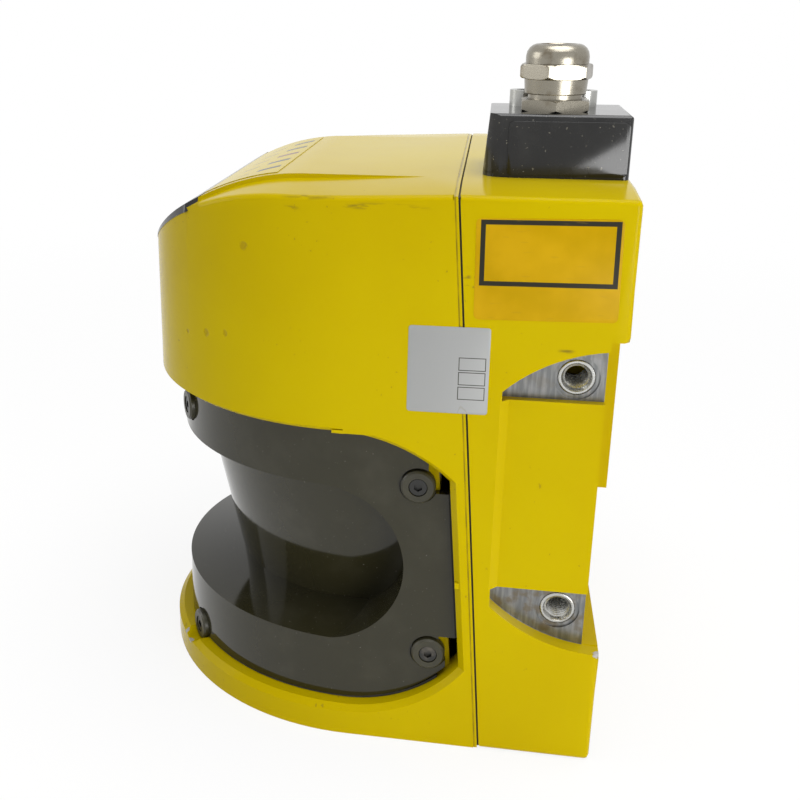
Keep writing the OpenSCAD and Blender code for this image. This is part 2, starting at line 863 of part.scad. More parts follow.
module motor_stator() {
    color([0.55, 0.33, 0.16]) translate([0, 0, floor_z + 3]) difference() {
        union() {
            cylinder(r = 13, h = 12);
            for (a = [0:40:320]) rotate(a) {
                translate([12, -2.2, 1]) cube([6, 4.4, 10]);
                intersection() {
                    translate([17, -5, 1]) cube([4, 10, 10]);
                    cylinder(r = motor_r - 0.5, h = 12);
                }
            }
        }
        translate([0, 0, -1]) cylinder(r = 9, h = 14);
    }
}

module motor_shaft() {
    color(steel) translate([0, 0, floor_z + 0.7]) cylinder(r = 2.5, h = carrier_z + 8 - floor_z - 0.7);
}

module rotor_bell() {
    color(aluminium) difference() {
        union() {
            translate([0, 0, 10]) cylinder(r = 23.5, h = 15.5);
            translate([0, 0, 25]) cylinder(r = 8, h = carrier_z - 25);
        }
        translate([0, 0, 9]) cylinder(r = 22, h = 15.5);
        translate([0, 0, 9]) cylinder(r = 2.5, h = 30);
    }
}

module rotor_magnet() {
    color([0.25, 0.25, 0.26]) translate([0, 0, 11]) difference() {
        cylinder(r = 22, h = 12);
        translate([0, 0, -1]) cylinder(r = motor_r, h = 14);
    }
}

module encoder_disc() {
    slots = 60;
    color(steel) translate([0, 0, disc_z]) difference() {
        cylinder(r = encoder_r, h = 0.8);
        translate([0, 0, -1]) cylinder(r = 8, h = 3);
        for (i = [0:slots / 5 - 1]) rotate(i * 360 / slots * 5) translate([encoder_r - 3, -1, -1]) cube([2, 2, 3]);
    }
}

module encoder_sensor() {
    color(plastic_black) translate([0, -encoder_r, floor_z]) difference() {
        translate([-5, -7, 0]) cube([10, 11, 26]);
        translate([-6, -2, disc_z - floor_z - 1]) cube([12, 12, 2.8]);
    }
}

// The mirror's face leans at 45 degrees and turns the vertical beam to the front.
module at_mirror() {
    translate([0, 0, scan_z]) rotate([45, 0, 0]) children();
}

module mirror_carrier() {
    color(aluminium) difference() {
        translate([0, 0, carrier_z]) cylinder(r = mirror_r - 2, h = scan_z + 16 - carrier_z);
        at_mirror() translate([-far / 2, -far / 2, -3]) cube([far, far, far]);
        translate([0, 0, carrier_z - 1]) cylinder(r = 2.5, h = 9);
    }
}

module scan_mirror() {
    color([0.85, 0.88, 0.9]) intersection() {
        at_mirror() translate([-far / 2, -far / 2, -3]) cube([far, far, 3]);
        translate([0, 0, carrier_z]) cylinder(r = mirror_r, h = 70);
    }
}

// ---- Transmitter and receiver ----

module lens_holder() {
    color(plastic_black) difference() {
        union() {
            intersection() {
                translate([0, 0, holder_z]) cylinder(r = 68, h = 3);
                translate([-far, 29 - far, 0]) cube([2 * far, far, far]);
            }
            translate([0, 0, lens_z - 2]) cylinder(r = lens_r + 2.5, h = holder_z - lens_z + 3);
        }
        translate([0, 0, lens_z - 3]) cylinder(r = lens_r - 1.5, h = 30);
        translate([0, 0, lens_z]) cylinder(r = lens_r, h = 40);
        for (a = [45:90:315]) rotate(a) translate([48, 0, holder_z - 1]) cylinder(r = 8, h = 6);
    }
}

module receiver_lens() {
    bend = 70;
    color([0.8, 0.85, 0.9]) translate([0, 0, lens_z]) difference() {
        intersection() {
            cylinder(r = lens_r, h = 10);
            translate([0, 0, 9 - bend]) sphere(bend);
        }
        translate([0, 0, -1]) cylinder(r = 7, h = 14);
    }
}

module laser_module() {
    color(steel) translate([0, 0, lens_z - 3]) difference() {
        union() {
            cylinder(r = 7, h = 24);
            translate([0, 0, 12]) cylinder(r = 9, h = 4);
        }
        translate([0, 0, -1]) cylinder(r = 3, h = 6);
    }
}

module board_standoffs() {
    color(nickel) for (a = [45:90:315]) rotate(a) translate([34, 0, holder_z + 3])
        cylinder(r = 2.6, h = detector_z - holder_z - 3);
}

module receiver_board() {
    color(circuit) translate([0, 0, detector_z]) cylinder(r = 39, h = 1.6);
}

module light_detector() {
    color(steel) translate([0, 0, detector_z - 5]) cylinder(r = 4.5, h = 5);
}

module window_sensors() {
    color(plastic_black) for (a = [-72, -54, -18, 0, 18, 54, 72]) rotate(a - 90) translate([60, -4, base_z]) cube([5, 8, 4]);
}

sensor_housing();
interface_housing();
module_gasket();
module_screws();
optics_cover();
cover_gasket();
cover_collars();
cover_screws();
display_window();
status_panel();
display_board();
plug_housing();
plug_gasket();
plug_screws();
plug_connector();
header_connector();
gland_body();
gland_nut();
gland_seal();
gland_o_ring();
gland_locknut();
side_inserts();
rear_inserts();
main_board();
interface_board();
motor_bracket();
motor_bearings();
motor_stator();
motor_shaft();
rotor_bell();
rotor_magnet();
encoder_disc();
encoder_sensor();
mirror_carrier();
scan_mirror();
lens_holder();
receiver_lens();
laser_module();
receiver_board();
board_standoffs();
light_detector();
window_sensors();
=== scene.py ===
"""Finishes, labels and small visible details of a safety laser scanner, round its packed construction."""

import json
import math

import bmesh
import bpy
import numpy as np
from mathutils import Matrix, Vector

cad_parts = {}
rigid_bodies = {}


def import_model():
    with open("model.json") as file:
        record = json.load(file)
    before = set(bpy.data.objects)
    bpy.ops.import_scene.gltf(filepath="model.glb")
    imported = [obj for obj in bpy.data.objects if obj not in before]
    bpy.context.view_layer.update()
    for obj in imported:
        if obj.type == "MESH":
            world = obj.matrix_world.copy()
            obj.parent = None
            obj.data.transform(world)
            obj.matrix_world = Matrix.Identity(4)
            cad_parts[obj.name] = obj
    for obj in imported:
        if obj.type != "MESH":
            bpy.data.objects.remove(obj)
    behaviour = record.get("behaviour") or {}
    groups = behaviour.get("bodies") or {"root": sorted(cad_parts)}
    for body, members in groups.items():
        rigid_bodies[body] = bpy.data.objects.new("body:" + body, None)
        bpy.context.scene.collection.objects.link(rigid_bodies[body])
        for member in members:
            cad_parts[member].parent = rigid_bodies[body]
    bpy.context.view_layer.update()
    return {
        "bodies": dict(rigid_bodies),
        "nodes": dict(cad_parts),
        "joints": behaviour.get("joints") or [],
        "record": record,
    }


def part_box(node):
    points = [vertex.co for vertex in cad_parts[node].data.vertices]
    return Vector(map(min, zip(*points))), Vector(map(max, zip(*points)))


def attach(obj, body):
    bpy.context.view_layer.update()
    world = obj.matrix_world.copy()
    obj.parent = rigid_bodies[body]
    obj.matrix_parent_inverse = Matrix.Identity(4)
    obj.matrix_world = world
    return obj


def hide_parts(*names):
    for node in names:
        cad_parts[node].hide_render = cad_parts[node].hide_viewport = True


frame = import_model()
NODES = frame["nodes"]

bl_info = {
    "name": "Safety Laser Scanner",
    "version": (1, 0, 0),
    "blender": (4, 5, 0),
    "location": "View3D > Sidebar > Scanner",
    "description": "Paint, dark cover, labels and threads of a safety laser scanner, with its stage",
    "category": "Object",
}

MM = 0.001
HALF_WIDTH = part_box("interface_housing")[1].x

# Millimetres, apart from the lean, in radians, and the flare, a ratio
JOINT_LEAN = math.radians(4.5)
JOINT_FOOT = 44.2  # how far the joint lies behind the middle of the base
RIM_END = 60  # from the middle plane, where the hood runs into the panel
SLOPE_Y, SLOPE_Z, SLOPE_RADIUS = -20, 113, 72.2  # the front slope's axis, along X, and its radius
NOSE_Y, NOSE_RADIUS = -2.5, 77.6  # the half-round nose's axis, and its radius
PANEL_TOP, PANEL_FLARE = 186, 0.4945  # the raised panel widens by the flare for each millimetre below its top
INSERT_RADIUS = 5.55
SIDE_INSERT_BACK = 57.0  # from the middle plane
RIM_POINTS = 32  # round a plate
BORE_POINTS = 40  # round a thread insert


# ---- Settings ----


class ScannerColours(bpy.types.PropertyGroup):
    """Colours of the finishes."""

    paint: bpy.props.FloatVectorProperty(
        name="Paint", description="Yellow powder coat of both castings",
        default=(0.485, 0.368, 0.0), subtype="COLOR",
    )
    cover: bpy.props.FloatVectorProperty(
        name="Cover", description="Moulding of the optics cover",
        default=(0.022, 0.020, 0.008), subtype="COLOR",
    )
    plug: bpy.props.FloatVectorProperty(
        name="Plug", description="Moulding of the plug",
        default=(0.009, 0.009, 0.009), subtype="COLOR",
    )
    label: bpy.props.FloatVectorProperty(
        name="Label", description="Ground of the amber label",
        default=(0.42, 0.255, 0.0), subtype="COLOR",
    )
    sticker: bpy.props.FloatVectorProperty(
        name="Sticker", description="Ground of the silver sticker",
        default=(0.31, 0.315, 0.31), subtype="COLOR",
    )
    ink: bpy.props.FloatVectorProperty(
        name="Ink", description="Printed lines",
        default=(0.028, 0.026, 0.018), subtype="COLOR",
    )
    floor: bpy.props.FloatVectorProperty(
        name="Floor", description="Floor of the stage",
        default=(0.88, 0.88, 0.88), subtype="COLOR",
    )


class ScannerSizes(bpy.types.PropertyGroup):
    """Sizes of the added details."""

    label_thickness: bpy.props.FloatProperty(
        name="Label thickness", description="Thickness of the printed foils",
        default=0.00012, unit="LENGTH",
    )
    thread_pitch: bpy.props.FloatProperty(
        name="Thread pitch", description="Pitch of the mounting threads",
        default=0.00125, unit="LENGTH",
    )
    casting_edge: bpy.props.FloatProperty(
        name="Casting edges", description="Radius of the castings' outer edges",
        default=0.0016, unit="LENGTH",
    )
    lens: bpy.props.FloatProperty(
        name="Lens", description="Focal length of the camera, in millimetres",
        default=48.2,
    )


# ---- Building materials ----


class Finish:
    """A material under construction: one shader, and patterns on the object's own coordinates."""

    def __init__(self, name, colour, roughness, **sockets):
        self.material = bpy.data.materials.new(name)
        self.material.use_nodes = True
        self.tree = self.material.node_tree
        self.shader = self.tree.nodes["Principled BSDF"]
        self.set(self.shader, base_color=(*colour, 1.0), roughness=roughness, **sockets)
        self.place = self.node("ShaderNodeTexCoord").outputs["Object"]

    def set(self, node, **sockets):
        """Puts values or links on sockets that are named in lower case with underscores."""
        names = {s.name.lower().replace(" ", "_"): s for s in node.inputs if s.enabled}
        for key, value in sockets.items():
            if isinstance(value, bpy.types.NodeSocket):
                self.tree.links.new(value, names[key])
            else:
                names[key].default_value = value

    def node(self, kind, **settings):
        made = self.tree.nodes.new(kind)
        for key, value in settings.items():
            setattr(made, key, value)
        return made

    def math(self, operation, *values):
        made = self.node("ShaderNodeMath", operation=operation)
        for socket, value in zip(made.inputs, values):
            if isinstance(value, bpy.types.NodeSocket):
                self.tree.links.new(value, socket)
            else:
                socket.default_value = value
        return made.outputs[0]

    def noise(self, scale, detail=2.0, stretch=(1, 1, 1)):
        """Noise from 0 to 1; scale is in features to the metre, and stretch multiplies it along each axis."""
        squash = self.node("ShaderNodeMapping")
        self.set(squash, vector=self.place, scale=stretch)
        made = self.node("ShaderNodeTexNoise")
        self.set(made, vector=squash.outputs[0], scale=scale, detail=detail)
        return made.outputs["Fac"]

    def step(self, value, low, high):
        """Rises smoothly from 0 at low to 1 at high; falls where low is above high."""
        made = self.node("ShaderNodeMapRange", interpolation_type="SMOOTHSTEP")
        flip = low > high
        self.set(made, value=value, from_min=min(low, high), from_max=max(low, high))
        self.set(made, to_min=1.0 if flip else 0.0, to_max=0.0 if flip else 1.0)
        return made.outputs[0]

    def distance(self, centre, radii=(1, 1, 1)):
        """Distance from a point, counted in radii along each axis."""
        offset = self.node("ShaderNodeMapping", vector_type="TEXTURE")
        self.set(offset, vector=self.place, location=centre, scale=radii)
        length = self.node("ShaderNodeVectorMath", operation="LENGTH")
        self.tree.links.new(offset.outputs[0], length.inputs[0])
        return length.outputs["Value"]

    def spot(self, centre, radii, edge, ragged=0.0):
        """1 inside an ellipsoid and 0 outside, with a soft edge that noise can make ragged."""
        away = self.distance(centre, radii)
        if ragged:
            offset = self.math("SUBTRACT", self.noise(900, 3), 0.5)
            away = self.math("ADD", away, self.math("MULTIPLY", offset, ragged))
        return self.step(away, 1.0, 1.0 - edge)

    def axis(self, name):
        split = self.node("ShaderNodeSeparateXYZ")
        self.tree.links.new(self.place, split.inputs[0])
        return split.outputs[name]

    def mix(self, factor, first, second):
        made = self.node("ShaderNodeMix", data_type="RGBA")
        for socket, value in ((made.inputs[0], factor), (made.inputs[6], first), (made.inputs[7], second)):
            if isinstance(value, bpy.types.NodeSocket):
                self.tree.links.new(value, socket)
            else:
                socket.default_value = (*value, 1.0) if isinstance(value, (tuple, list)) else value
        return made.outputs[2]

    def strongest(self, masks):
        total = masks[0]
        for mask in masks[1:]:
            total = self.math("MAXIMUM", total, mask)
        return total

    def bump(self, height, depth):
        """Raises the surface by height times depth, in metres."""
        made = self.node("ShaderNodeBump")
        self.set(made, height=height, distance=depth, strength=1.0)
        return made

    def finish(self, colour=None, roughness=None, bumps=()):
        if colour is not None:
            self.set(self.shader, base_color=colour)
        if roughness is not None:
            self.set(self.shader, roughness=roughness)
        last = None
        for made in bumps:
            if last is not None:
                self.set(made, normal=last.outputs[0])
            last = made
        if last is not None:
            self.set(self.shader, normal=last.outputs[0])
        return self.material


def colour_of(name):
    return tuple(getattr(bpy.context.scene.scanner_colours, name))


def dress(names, material):
    """Gives CAD nodes a material."""
    for name in names:
        NODES[name].data.materials.clear()
        NODES[name].data.materials.append(material)


# ---- Building pieces ----


def add_piece(made, material):
    """Links an object that rides the fixed body and gives it its finish."""
    bpy.context.scene.collection.objects.link(made)
    made.data.materials.clear()
    made.data.materials.append(material)
    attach(made, "root")
    return made


def surface(name, points, faces, material, sharp=30):
    """A smooth-shaded mesh of points in millimetres, creased where it turns by more than sharp degrees."""
    mesh = bpy.data.meshes.new(name)
    mesh.from_pydata((points * MM).tolist(), [], faces)
    mesh.polygons.foreach_set("use_smooth", np.ones(len(faces), bool))
    mesh.set_sharp_from_angle(angle=math.radians(sharp))
    return add_piece(bpy.data.objects.new(name, mesh), material)


def weave(rows, columns, closed=True):
    """Four-sided faces between neighbouring rows of points, joined round where closed."""
    row = np.arange(rows - 1)[:, None] * columns
    first = np.arange(columns if closed else columns - 1)[None, :]
    second = (first + 1) % columns
    next_row = row + columns
    return np.stack([row + first, row + second, next_row + second, next_row + first], -1).reshape(-1, 4)


def placed(points, origin, across, along, out):
    """Turns local points so that their axes lie along across, along and out, and moves them to origin."""
    return np.asarray(origin, float) + points @ np.array([across, along, out], float)


def sharp_edges(mesh, angle):
    """A mask of the edges where two faces meet at more than an angle."""
    edge = np.empty(len(mesh.loops), int)
    mesh.loops.foreach_get("edge_index", edge)
    total = np.empty(len(mesh.polygons), int)
    mesh.polygons.foreach_get("loop_total", total)
    normal = np.empty(len(mesh.polygons) * 3)
    mesh.polygons.foreach_get("normal", normal)
    order = np.argsort(edge, kind="stable")
    edge, normal = edge[order], normal.reshape(-1, 3)[np.repeat(np.arange(len(total)), total)[order]]
    pairs = np.flatnonzero(edge[:-1] == edge[1:])
    found = np.zeros(len(mesh.edges), bool)
    found[edge[pairs]] = (normal[pairs] * normal[pairs + 1]).sum(1) < math.cos(angle)
    return found


def rounded(node, radius, material, weigh):
    """A copy of a CAD node with its corners merged, its flat faces joined up and its sharp edges rounded.

    weigh gives the share of the radius at points in millimetres; edges with none stay sharp.
    """
    made = bpy.data.objects.new(f"{node}_rounded", NODES[node].data.copy())
    mesh = made.data
    form = bmesh.new()
    form.from_mesh(mesh)
    bmesh.ops.remove_doubles(form, verts=form.verts, dist=2e-6)
    bmesh.ops.dissolve_limit(form, angle_limit=math.radians(0.4), verts=form.verts, edges=form.edges)
    bmesh.ops.triangulate(form, faces=[face for face in form.faces if len(face.verts) > 4])
    form.to_mesh(mesh)
    form.free()
    if "custom_normal" in mesh.attributes:
        mesh.attributes.remove(mesh.attributes["custom_normal"])
    mesh.polygons.foreach_set("use_smooth", np.ones(len(mesh.polygons), bool))
    point = np.empty(len(mesh.vertices) * 3)
    mesh.vertices.foreach_get("co", point)
    ends = np.empty(len(mesh.edges) * 2, int)
    mesh.edges.foreach_get("vertices", ends)
    middle = point.reshape(-1, 3)[ends.reshape(-1, 2)].mean(1) / MM
    sharp = sharp_edges(mesh, math.radians(28))
    share = sharp * weigh(*middle.T)
    mesh.attributes.new("sharp_edge", "BOOLEAN", "EDGE").data.foreach_set("value", sharp & (share < 0.02))
    weight = mesh.attributes.new("bevel_weight_edge", "FLOAT", "EDGE")
    weight.data.foreach_set("value", share.astype(np.float32))
    bevel = made.modifiers.new("edges", "BEVEL")
    bevel.limit_method = "WEIGHT"
    bevel.width = radius
    bevel.segments = 2
    bevel.use_clamp_overlap = False
    made.modifiers.new("flats", "WEIGHTED_NORMAL").keep_sharp = True
    add_piece(made, material)
    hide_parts(node)


# ---- Finishes ----

# Places in millimetres and radii along each axis
RIM_SCUFFS = [
    ((76.8, -17, 182.5), (4, 14, 1.6)),
    ((77.6, 6, 180.2), (3, 20, 1.3)),
    ((76.2, -20, 178.6), (3, 5, 1.2)),
    ((77.6, 62.5, 139.8), (1.2, 3.2, 0.9)),
    ((77.6, 33, 160.5), (1.2, 1.6, 4.0)),
]
DENTS = [
    ((70.5, -34.6, 165.8), 1.7),
    ((66.8, -41.8, 136.5), 1.3),
    ((54.7, -57.4, 132.7), 1.0),
    ((61.7, -49.3, 134.9), 1.6),
    ((77.5, 42.5, 171.8), 1.4),
]
CHIPS = [
    ((39.6, -66.5, 9.8), (1.2, 1.4, 2.2)),
    ((43.8, -63.8, 7.6), (1.4, 1.6, 1.0)),
    ((77.5, 80.0, 40.2), (3.0, 2.2, 1.6)),
]


def mm(values):
    return tuple(v * MM for v in values)


def paint_finish():
    """Glossy powder coat with faint orange peel, worn places, a line of painted shade ahead of the joint and
    bare machined side pads.
    """
    f = Finish("yellow_paint", colour_of("paint"), 0.2, specular_ior_level=0.04)
    x, y, z = (f.axis(n) for n in "XYZ")
    deep = tuple(c * k for c, k in zip(colour_of("paint"), (0.94, 0.91, 0.9)))
    colour = f.mix(f.step(f.noise(14, 3), 0.35, 0.7), colour_of("paint"), deep)

    grime = f.step(f.noise(420, 5, stretch=(1, 0.35, 1.6)), 0.48, 0.62)
    scuff = f.strongest([f.spot(mm(c), mm(r), 0.9) for c, r in RIM_SCUFFS])
    worn = f.math("MULTIPLY", f.math("MULTIPLY", scuff, grime), 0.8)
    colour = f.mix(worn, colour, (0.13, 0.09, 0.015))
    specks = f.math("MULTIPLY", f.step(f.noise(700, 2), 0.70, 0.74), f.step(f.noise(40, 2), 0.5, 0.6))
    colour = f.mix(f.math("MULTIPLY", specks, 0.5), colour, (0.20, 0.14, 0.02))
    dents = f.strongest([f.spot(mm(c), (r * MM,) * 3, 0.5, 0.9) for c, r in DENTS])
    colour = f.mix(f.math("MULTIPLY", dents, 0.45), colour, (0.26, 0.17, 0.01))
    chips = f.strongest([f.spot(mm(c), mm(r), 0.12, 0.8) for c, r in CHIPS])
    colour = f.mix(chips, colour, (0.42, 0.40, 0.38))

    # a fine line of painted shade ahead of the joint, standing in for a shallow groove there; noise makes it
    # patchy
    joint = f.math("ADD", f.math("ADD", y, f.math("MULTIPLY", z, math.tan(JOINT_LEAN))), -0.0444)
    line = f.step(f.math("ABSOLUTE", f.math("ADD", joint, 0.0014)), 0.00032, 0.0001)
    patchy = f.step(f.noise(160, 4), 0.35, 0.65)
    groove_shade = f.math("MULTIPLY", line, f.math("ADD", 0.45, f.math("MULTIPLY", patchy, 0.4)))
    colour = f.mix(groove_shade, colour, (0.16, 0.12, 0.01))

    # machined pads round the side threads
    side_reach = f.math("ABSOLUTE", x)
    sides = (
        f.step(side_reach, 0.07115, 0.07120), f.step(side_reach, 0.07225, 0.07215),
        f.step(y, 0.0448, 0.0450), f.step(y, 0.07497, 0.07490),
        f.step(z, 0.0390, 0.0392), f.step(z, 0.1412, 0.1410),
    )
    bare = sides[0]
    for side in sides[1:]:
        bare = f.math("MULTIPLY", bare, side)
    sweep = f.noise(900, 2, stretch=(1, 1, 0.12))
    stain = f.step(f.noise(260, 5), 0.47, 0.66)
    metal = f.mix(f.step(sweep, 0.35, 0.7), (0.17, 0.175, 0.175), (0.27, 0.27, 0.265))
    low = f.step(z, 0.10, 0.08)
    spread = f.math("ADD", 0.25, f.math("MULTIPLY", low, 0.5))
    metal = f.mix(f.math("MULTIPLY", stain, spread), metal, (0.16, 0.13, 0.085))
    colour = f.mix(bare, colour, metal)

    rough = f.math("ADD", 0.13, f.math("MULTIPLY", f.noise(60, 3), 0.06))
    rough = f.math("ADD", rough, f.math("MULTIPLY", f.math("MAXIMUM", worn, chips), 0.35))
    rough = f.math("ADD", rough, f.math("MULTIPLY", bare, 0.16))
    f.set(f.shader, metallic=f.math("MULTIPLY", bare, 0.9))
    peel = f.bump(f.noise(700, 1), 0.000012)
    pits = f.bump(f.math("MULTIPLY", f.math("MAXIMUM", dents, chips), -1.0), 0.00022)
    tooling = f.bump(f.math("MULTIPLY", bare, sweep), 0.00004)
    return f.finish(colour, rough, (peel, pits, tooling))


def cover_finish():
    """Glossy dark moulding with faint dust and hairline marks."""
    f = Finish("dark_cover", colour_of("cover"), 0.10, specular_ior_level=0.4)
    dust = f.step(f.noise(55, 6), 0.45, 0.8)
    colour = f.mix(f.math("MULTIPLY", dust, 0.22), colour_of("cover"), (0.075, 0.070, 0.05))
    motes = f.step(f.noise(1500, 2), 0.735, 0.76)
    colour = f.mix(f.math("MULTIPLY", motes, 0.5), colour, (0.24, 0.23, 0.20))
    hair = f.step(f.noise(300, 4, stretch=(1, 1, 0.08)), 0.60, 0.72)
    rough = f.math("ADD", 0.07, f.math("MULTIPLY", f.math("ADD", dust, hair), 0.06))
    return f.finish(colour, rough, (f.bump(f.noise(26, 1), 0.00005),))


def plastic_finish(name, colour, roughness, grain=0.0, dust=0.0, **sockets):
    """Moulded plastic or rubber with a little grain, uneven gloss and specks of dust."""
    f = Finish(name, colour, roughness, **sockets)
    patch = f.noise(120, 4)
    paler = tuple(min(1.0, c * 1.5 + 0.004) for c in colour)
    tint = f.mix(f.step(patch, 0.4, 0.75), colour, paler)
    if dust:
        motes = f.step(f.noise(1100, 2), 0.70, 0.73)
        tint = f.mix(f.math("MULTIPLY", motes, dust), tint, (0.40, 0.38, 0.32))
    rough = f.math("ADD", roughness - 0.04, f.math("MULTIPLY", patch, 0.09))
    return f.finish(tint, rough, (f.bump(f.noise(2600, 2), grain),) if grain else ())


def metal_finish(name, colour, roughness, brushed=(1, 1, 1), stain=(0.25, 0.22, 0.18), spread=0.45):
    """Bare or plated metal: fine tool marks along one direction, and stains in patches."""
    f = Finish(name, colour, roughness, metallic=1.0)
    marks = f.noise(1400, 3, stretch=brushed)
    patch = f.step(f.noise(160, 5), 0.52, 0.75)
    tint = f.mix(f.math("MULTIPLY", patch, spread), colour, stain)
    rough = f.math("ADD", roughness - 0.08, f.math("MULTIPLY", marks, 0.18))
    return f.finish(tint, rough, (f.bump(marks, 0.00001),))


def board_finish():
    """Green solder mask with pale tracks in a grid of noise cells."""
    f = Finish("circuit_board", (0.02, 0.16, 0.07), 0.35)
    tracks = f.step(f.noise(500, 1, stretch=(1, 1, 0.2)), 0.49, 0.51)
    return f.finish(f.mix(f.math("MULTIPLY", tracks, 0.3), (0.02, 0.16, 0.07), (0.05, 0.30, 0.13)))


def within(f, centre, half, turn):
    """Signed distance in Y and Z from a rectangle turned about X: negative inside."""
    local = f.node("ShaderNodeMapping", vector_type="TEXTURE")
    f.set(local, vector=f.place, location=centre, rotation=(turn, 0.0, 0.0))
    split = f.node("ShaderNodeSeparateXYZ")
    f.tree.links.new(local.outputs[0], split.inputs[0])
    away = [f.math("ADD", f.math("ABSOLUTE", split.outputs[n]), -h) for n, h in zip("YZ", half)]
    return f.math("MAXIMUM", *away)


def outline(f, centre, half, turn, line):
    """1 on a line just inside a rectangle's border."""
    away = within(f, centre, half, turn)
    return f.math("MULTIPLY", f.step(away, 0.00005, -0.00005), f.step(away, -line - 0.00005, -line + 0.00005))


def amber_finish():
    """Amber foil with one dark frame; its fields are left bare."""
    f = Finish("amber_label", colour_of("label"), 0.34, specular_ior_level=0.06)
    faded = f.mix(f.step(f.noise(60, 3), 0.35, 0.7), colour_of("label"), (0.52, 0.31, 0.004))
    frame = outline(f, mm((HALF_WIDTH / MM, 55.6, 168.2)), mm((19.3, 9.6)), math.radians(0.9), 0.0014)
    colour = f.mix(frame, faded, colour_of("ink"))
    scratch = f.step(f.noise(900, 2, stretch=(1, 0.15, 1)), 0.66, 0.70)
    return f.finish(f.mix(f.math("MULTIPLY", scratch, 0.15), colour, (0.25, 0.17, 0.02)))


def silver_finish():
    """Silver foil with three empty boxes and faint wavy stains."""
    f = Finish("silver_sticker", colour_of("sticker"), 0.42, metallic=0.25)
    wave = f.math("ABSOLUTE", f.math("SUBTRACT", f.noise(55, 2, stretch=(1, 1.6, 0.45)), 0.5))
    ripple = f.math("MULTIPLY", f.step(wave, 0.012, 0.003), 0.35)
    colour = f.mix(ripple, colour_of("sticker"), (0.22, 0.20, 0.14))
    colour = f.mix(f.math("MULTIPLY", f.step(f.noise(30, 3), 0.4, 0.7), 0.15), colour, (0.33, 0.33, 0.32))
    boxes = [outline(f, mm((HALF_WIDTH / MM, 35.8, z)), mm((4.0, 2.05)), math.radians(0.5), 0.00025)
             for z in (134.2, 129.65, 125.05)]
    return f.finish(f.mix(f.strongest(boxes), colour, colour_of("ink")))


def foil_finish():
    """Yellow foil with rows of slanted indicator windows."""
    f = Finish("panel_foil", colour_of("paint"), 0.18, specular_ior_level=0.04)
    x, y = f.axis("X"), f.axis("Y")
    slant = f.math("ADD", x, f.math("MULTIPLY", f.math("ADD", y, 0.034), 0.72))
    pitch = 0.0171
    turn = f.math("DIVIDE", slant, pitch)
    nearest = f.math("ABSOLUTE", f.math("SUBTRACT", turn, f.math("ROUND", turn)))
    strip = f.step(nearest, 0.155, 0.135)
    inside = f.step(f.math("ABSOLUTE", x), 0.0405, 0.0400)
    rear_row = f.math("MULTIPLY", f.step(y, -0.0374, -0.0371), f.step(y, -0.0303, -0.0306))
    front_row = f.math("MULTIPLY", f.step(y, -0.0448, -0.0445), f.step(y, -0.0398, -0.0401))
    rows = f.math("MAXIMUM", rear_row, f.math("MULTIPLY", front_row, 0.35))
    bars = f.math("MULTIPLY", f.math("MULTIPLY", strip, inside), rows)
    red = f.step(f.math("ABSOLUTE", x), 0.006, 0.005)
    tint = f.mix(red, (0.06, 0.055, 0.03), (0.15, 0.05, 0.02))
    return f.finish(f.mix(bars, colour_of("paint"), tint))


# ---- Pieces ----


def nose_reach(x, y):
    """Distance from the middle plane, or from the axis of the half-round nose in front of it."""
    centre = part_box("sensor_housing")[0].y / MM + HALF_WIDTH / MM
    return np.where(y > centre, np.abs(x), np.hypot(x, y - centre))


def joint_gap(y, z):
    """How far points lie behind the leaning joint between the castings."""
    return y - JOINT_FOOT + z * math.tan(JOINT_LEAN)


def head_edges(x, y, z):
    """Wide radii round the hood's rim, which end beside the panel."""
    side = nose_reach(x, y)
    rim = (joint_gap(y, z) < -2.4) & (side > 77) & (z > 140)
    return np.where(rim & ((y > -20) | (np.abs(x) > RIM_END)), 1.0, 0.0)


def rear_edges(x, y, z):
    """Wide radii along the block's outer edges."""
    side = np.abs(x)
    ends = (z > 183) | (z < 0.5)
    main = (side > 76.5) & (ends | (y > 79)) | (y > 79) & ends
    return np.where((joint_gap(y, z) > 1.6) & main, 1.0, 0.0)


def no_edges(x, y, z):
    """None of the edges, for the plug, whose edges are soft in the CAD node already."""
    return np.zeros_like(x)


def plate(name, centre, half, corner, turn, material, thickness, base=HALF_WIDTH / MM):
    """A plate with round corners on a right-hand side face.

    Its outline is (sign(cos t) (a - r) + r cos t, sign(sin t) (b - r) + r sin t), with half sides a and b and
    corner radius r.
    """
    t = (np.arange(RIM_POINTS) + 0.5) * 2 * np.pi / RIM_POINTS
    rim = np.stack([np.sign(np.cos(t)) * (half[0] - corner) + corner * np.cos(t),
                    np.sign(np.sin(t)) * (half[1] - corner) + corner * np.sin(t)], -1)
    steps = (
        (0.0, 0.01),
        (0.0, 0.7 * thickness),
        (-0.1 * thickness, 0.9 * thickness),
        (-0.35 * thickness, thickness),
    )
    rings = [np.c_[rim * (1 + inset / half[0]), np.full(RIM_POINTS, height)] for inset, height in steps]
    c, s = math.cos(turn), math.sin(turn)
    points = placed(np.concatenate(rings), (base, *centre), (0, c, s), (0, -s, c), (1, 0, 0))
    faces = weave(4, RIM_POINTS).tolist() + [list(range(3 * RIM_POINTS, 4 * RIM_POINTS))]
    return surface(name, points, faces, material)


